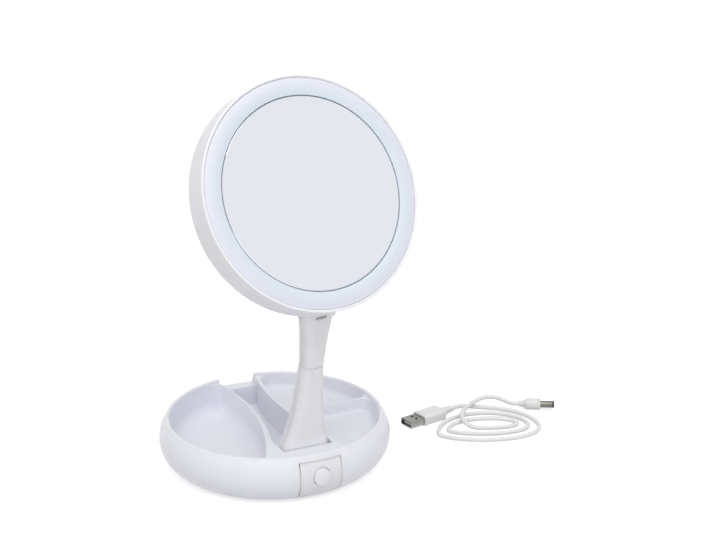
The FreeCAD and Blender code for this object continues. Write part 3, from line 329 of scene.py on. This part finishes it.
def addNoise(tree, scale, **inputs):
    noise = addNode(tree, "ShaderNodeTexNoise", Scale=scale, **inputs)
    tree.links.new(objectSpace(tree), noise.inputs["Vector"])
    return noise.outputs["Fac"]


# Colour that drifts between two close tones in soft blotches
def mottledColour(tree, light, dark, scale):
    blotches = addNoise(tree, scale, Detail=texture["blotchDetail"], Roughness=texture["blotchRough"])
    ramp = tree.nodes.new("ShaderNodeValToRGB")
    stops = ((texture["darkStop"], dark), (texture["lightStop"], light))
    for element, (position, tone) in zip(ramp.color_ramp.elements, stops):
        element.position = position
        element.color = (*tone, 1)
    tree.links.new(blotches, ramp.inputs["Fac"])
    return ramp.outputs["Color"]


def grainBump(tree, shader, scale, strength, distance, edgeRound=0.0):
    bump = addNode(tree, "ShaderNodeBump", Strength=strength, Distance=distance)
    tree.links.new(addNoise(tree, scale, Detail=texture["grainDetail"]), bump.inputs["Height"])
    tree.links.new(bump.outputs["Normal"], shader.inputs["Normal"])
    if edgeRound:
        edge = addNode(tree, "ShaderNodeBevel", Radius=edgeRound)
        edge.samples = texture["edgeSamples"]
        tree.links.new(edge.outputs["Normal"], bump.inputs["Normal"])


def roughnessRange(tree, shader, rough, scale):
    spread = addNode(tree, "ShaderNodeMapRange", To_Min=rough[0], To_Max=rough[1])
    tree.links.new(addNoise(tree, scale, Detail=texture["grainDetail"]), spread.inputs["Value"])
    tree.links.new(spread.outputs["Result"], shader.inputs["Roughness"])


def plasticFinish(name, light, dark, rough, grain, bump, edgeRound=0.0, depth=0.0):
    finish, tree, shader = newFinish(name)
    if depth:
        shader.inputs["Subsurface Weight"].default_value = plasticLook["scatterWeight"]
        shader.inputs["Subsurface Radius"].default_value = plasticLook["scatterRadius"]
        shader.inputs["Subsurface Scale"].default_value = depth
        shader.inputs["Specular IOR Level"].default_value = plasticLook["scatterGloss"]
    tree.links.new(mottledColour(tree, light, dark, plasticLook["blotches"]), shader.inputs["Base Color"])
    roughnessRange(tree, shader, rough, plasticLook["patches"])
    grainBump(tree, shader, grain, bump, plasticLook["grainHeight"], edgeRound)
    return finish


def metalFinish(name, light, dark, rough, grain, bump):
    finish, tree, shader = newFinish(name)
    shader.inputs["Metallic"].default_value = 1.0
    tree.links.new(mottledColour(tree, light, dark, metalLook["blotches"]), shader.inputs["Base Color"])
    roughnessRange(tree, shader, rough, metalLook["patches"])
    grainBump(tree, shader, grain, bump, metalLook["grainHeight"])
    return finish


# Distance from the head's axis, for the ring and the edge of the glass
headFrame = {"centre": (-0.0053, -0.0473, 0.2081), "turn": (-0.4204, -0.0260, 0.1194)}


def headRadius(tree):
    place = addNode(tree, "ShaderNodeMapping", Location=headFrame["centre"], Rotation=headFrame["turn"])
    place.vector_type = "TEXTURE"
    tree.links.new(objectSpace(tree), place.inputs["Vector"])
    flat = addOperation(tree, "ShaderNodeVectorMath", "MULTIPLY")
    flat.inputs[1].default_value = (1, 0, 1)
    tree.links.new(place.outputs["Vector"], flat.inputs[0])
    radius = addOperation(tree, "ShaderNodeVectorMath", "LENGTH")
    tree.links.new(flat.outputs["Vector"], radius.inputs[0])
    return radius.outputs["Value"]


def colourByRadius(tree, stops):
    spread = addNode(tree, "ShaderNodeMapRange", From_Min=stops[0][0], From_Max=stops[1][0])
    tree.links.new(headRadius(tree), spread.inputs["Value"])
    ramp = tree.nodes.new("ShaderNodeValToRGB")
    for element, stop in zip(ramp.color_ramp.elements, stops):
        element.color = (*stop[1], 1)
    tree.links.new(spread.outputs["Result"], ramp.inputs["Fac"])
    return ramp.outputs["Color"]


# Frosted ring: a lavender white at its rim that turns to pale blue beside the mirror
ringLook = {
    "stops": ((0.0679, (0.680, 0.750, 0.825)), (0.0767, (0.745, 0.745, 0.830))),
    "rough": (0.28, 0.38),
    "patches": 60.0,
    "grain": 2600,
    "bump": 0.04,
    "grainHeight": 0.0004,
}


def ringFinish():
    finish, tree, shader = newFinish("frostedRing")
    tree.links.new(colourByRadius(tree, ringLook["stops"]), shader.inputs["Base Color"])
    roughnessRange(tree, shader, ringLook["rough"], ringLook["patches"])
    grainBump(tree, shader, ringLook["grain"], ringLook["bump"], ringLook["grainHeight"])
    return finish


# Silvered glass with a painted dark edge: painted shade along the rim of the glass that dims the white
# reflection in its bevel
mirrorLook = {
    # The second stop is the painted shade at the glass edge
    "stops": ((0.0639, (0.775, 0.800, 0.855)), (0.0642, (0.62, 0.66, 0.72))),
    "rough": (0.015, 0.03),
    "patches": 300.0,
}


def mirrorFinish():
    finish, tree, shader = newFinish("silverMirror")
    shader.inputs["Metallic"].default_value = 1.0
    tree.links.new(colourByRadius(tree, mirrorLook["stops"]), shader.inputs["Base Color"])
    roughnessRange(tree, shader, mirrorLook["rough"], mirrorLook["patches"])
    return finish


plastics = {
    "white_shell": {"name": "glossWhiteShell", "light": (0.885, 0.885, 0.928), "dark": (0.870, 0.870, 0.913),
                    "rough": (0.30, 0.40), "grain": 900, "bump": 0.02, "depth": 0.003},
    "white_inner": {"name": "satinWhiteInner", "light": (0.80, 0.80, 0.82), "dark": (0.78, 0.78, 0.80),
                    "rough": (0.40, 0.55), "grain": 1400, "bump": 0.06},
    "grey_rubber": {"name": "greyRubber", "light": (0.16, 0.16, 0.165), "dark": (0.13, 0.13, 0.135),
                    "rough": (0.75, 0.9), "grain": 2200, "bump": 0.25},
    "cell": {"name": "cellSleeve", "light": (0.045, 0.048, 0.055), "dark": (0.03, 0.032, 0.036),
             "rough": (0.25, 0.35), "grain": 800, "bump": 0.02},
    "board": {"name": "whiteBoard", "light": (0.68, 0.70, 0.67), "dark": (0.62, 0.64, 0.61),
              "rough": (0.35, 0.5), "grain": 1200, "bump": 0.04},
    "led": {"name": "phosphorGel", "light": (0.85, 0.74, 0.30), "dark": (0.80, 0.68, 0.24),
            "rough": (0.25, 0.35), "grain": 900, "bump": 0.03},
    "black_plastic": {"name": "blackMoulding", "light": (0.018, 0.018, 0.019), "dark": (0.012, 0.012, 0.013),
                      "rough": (0.35, 0.5), "grain": 1800, "bump": 0.08},
    "white_tongue": {"name": "whiteTongue", "light": (0.72, 0.72, 0.72), "dark": (0.69, 0.69, 0.69),
                     "rough": (0.4, 0.5), "grain": 1500, "bump": 0.05},
    "white_lead": {"name": "softWhiteLead", "light": (0.81, 0.81, 0.815), "dark": (0.79, 0.79, 0.795),
                   "rough": (0.42, 0.55), "grain": 2600, "bump": 0.10},
}
metals = {
    "steel": {"name": "plainSteel", "light": (0.55, 0.55, 0.56), "dark": (0.46, 0.46, 0.47),
              "rough": (0.25, 0.4), "grain": 1800, "bump": 0.05},
    "bright_metal": {"name": "platedMetal", "light": (0.33, 0.33, 0.32), "dark": (0.26, 0.26, 0.25),
                     "rough": (0.16, 0.28), "grain": 2200, "bump": 0.03},
}
finishes = {"diffuser": ringFinish(), "mirror": mirrorFinish()}
finishes.update((slot, plasticFinish(**look)) for slot, look in plastics.items())
finishes.update((slot, metalFinish(**look)) for slot, look in metals.items())

# Pieces whose tone differs a little from the rest of their slot; the stem's lighter white is painted light
# that makes up for the shade under the head

glossLook = {"rough": (0.26, 0.36), "grain": 900, "bump": 0.02, "depth": 0.004}
baseFinish = plasticFinish("glossWhiteBase", (0.845, 0.850, 0.915), (0.830, 0.835, 0.900),
                           edgeRound=0.0003, **glossLook)
# Stem: a lighter copy of the white plastic, painted light against the shade the head casts on it
stemPaintedLightFinish = plasticFinish("glossWhiteStemPaintedLight", (0.915, 0.917, 0.957), (0.900, 0.902, 0.942), **glossLook)
panelFinish = plasticFinish("glossWhitePanel", (0.845, 0.847, 0.890), (0.830, 0.832, 0.875), **glossLook)
gripFinish = plasticFinish("softWhiteGrip", (0.75, 0.75, 0.755), (0.73, 0.73, 0.735),
                           rough=(0.42, 0.55), grain=2600, bump=0.10)
barrelFinish = metalFinish("brassBarrel", (0.20, 0.19, 0.165), (0.15, 0.14, 0.12),
                           rough=(0.18, 0.30), grain=2200, bump=0.03)
ownFinishes = {
    "base_tray": baseFinish,
    "switch_panel": panelFinish,
    "power_button": panelFinish,
    "stem_lower_front": stemPaintedLightFinish,
    "stem_lower_rear": stemPaintedLightFinish,
    "stem_upper_front": stemPaintedLightFinish,
    "stem_upper_rear": stemPaintedLightFinish,
    "dc_plug_barrel": barrelFinish,
}


def dress(holder, finish):
    holder.data.materials.clear()
    holder.data.materials.append(finish)


for part in frame["record"]["subparts"]:
    dress(nodes[part["node"]], ownFinishes.get(part["node"], finishes[part["material_slot"]]))
dress(leadCord, finishes["white_lead"])
dress(plugShell, finishes["bright_metal"])
dress(plugGrip, gripFinish)

# Floor, world and lamps

studio = {
    "white": (1, 1, 1, 1),
    "floorSize": 12.0,
    "floorTone": 0.72,
    "floorRough": 0.9,
    "floorGlow": (0.60, 1.0),
    "glowRange": (0.35, 1.1),
    "worldLight": 0.46,
    "backdropLight": 1.0,
    "lamps": [
        {"name": "topSoftbox", "place": (-0.15, -0.75, 1.85), "aim": (0.05, 0, 0.1),
         "size": 2.6, "power": 29.0},
        {"name": "frontSoftbox", "place": (-0.9, -1.6, 1.3), "aim": (0.05, 0, 0.12),
         "size": 1.8, "power": 8.0},
    ],
}


# One where a ray comes from the camera, a reflection or a clear piece, else zero
def seenDirectly(tree):
    path = tree.nodes.new("ShaderNodeLightPath")
    seen = path.outputs["Is Camera Ray"]
    for kind in ("Is Glossy Ray", "Is Transmission Ray"):
        either = addOperation(tree, "ShaderNodeMath", "MAXIMUM")
        tree.links.new(seen, either.inputs[0])
        tree.links.new(path.outputs[kind], either.inputs[1])
        seen = either.outputs[0]
    return seen


def addWorld():
    world = bpy.data.worlds.new("whiteStudio")
    world.use_nodes = True
    scene.world = world
    tree = world.node_tree
    backdrop = tree.nodes["Background"]
    backdrop.inputs["Color"].default_value = studio["white"]
    strength = addNode(tree, "ShaderNodeMapRange",
                       To_Min=studio["worldLight"], To_Max=studio["backdropLight"])
    tree.links.new(seenDirectly(tree), strength.inputs["Value"])
    tree.links.new(strength.outputs["Result"], backdrop.inputs["Strength"])


# Pale floor that glows to white for the eye alone, more so away from the object
def floorFinish():
    finish, tree, shader = newFinish("paleFloor")
    shader.inputs["Base Color"].default_value = (studio["floorTone"],) * 3 + (1,)
    shader.inputs["Roughness"].default_value = studio["floorRough"]
    shader.inputs["Specular IOR Level"].default_value = 0.0
    shader.inputs["Emission Color"].default_value = studio["white"]
    distance = addOperation(tree, "ShaderNodeVectorMath", "LENGTH")
    tree.links.new(objectSpace(tree), distance.inputs[0])
    near, far = studio["glowRange"]
    faint, full = studio["floorGlow"]
    lift = addNode(tree, "ShaderNodeMapRange", From_Min=near, From_Max=far, To_Min=faint, To_Max=full)
    tree.links.new(distance.outputs["Value"], lift.inputs["Value"])
    glow = addOperation(tree, "ShaderNodeMath", "MULTIPLY")
    tree.links.new(seenDirectly(tree), glow.inputs[0])
    tree.links.new(lift.outputs["Result"], glow.inputs[1])
    tree.links.new(glow.outputs[0], shader.inputs["Emission Strength"])
    return finish


def addFloor():
    half = studio["floorSize"] / 2
    mesh = bpy.data.meshes.new("studioFloor")
    corners = [(-half, -half, 0), (half, -half, 0), (half, half, 0), (-half, half, 0)]
    mesh.from_pydata(corners, [], [(0, 1, 2, 3)])
    mesh.materials.append(floorFinish())
    floor = addObject("studioFloor", mesh)


def addLamps():
    for lamp in studio["lamps"]:
        light = bpy.data.lights.new(lamp["name"], "AREA")
        light.shape = "SQUARE"
        light.size = lamp["size"]
        light.energy = lamp["power"]
        aimAt(addObject(lamp["name"], light), lamp["place"], lamp["aim"])


addWorld()
addFloor()
addLamps()
print("studio lit")
